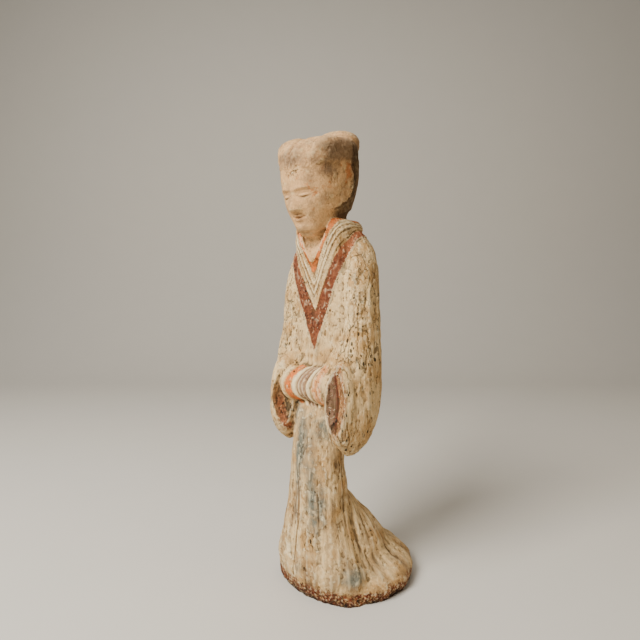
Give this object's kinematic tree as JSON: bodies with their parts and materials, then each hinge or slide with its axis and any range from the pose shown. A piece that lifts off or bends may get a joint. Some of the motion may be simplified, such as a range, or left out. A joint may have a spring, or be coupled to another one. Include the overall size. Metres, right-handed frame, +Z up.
{
  "type": "terracotta court lady figure",
  "caption": "Standing terracotta court lady in a long robe, hands hidden in banded cuffs between hanging sleeves, skirt spreading to a round trailing hem.",
  "frame": {"origin": "on the ground under the middle of the figure's bounding box", "axes": "+Z up, the figure faces -Y, her left hand side is +X"},
  "size_m": [0.1658, 0.1742, 0.5222],
  "materials": {
    "terracotta": "matte fired clay under a worn cream slip, with red-brown and orange painted borders"
  },
  "bodies": {
    "root": {"court_lady_figure": "terracotta"}
  },
  "joints": []
}
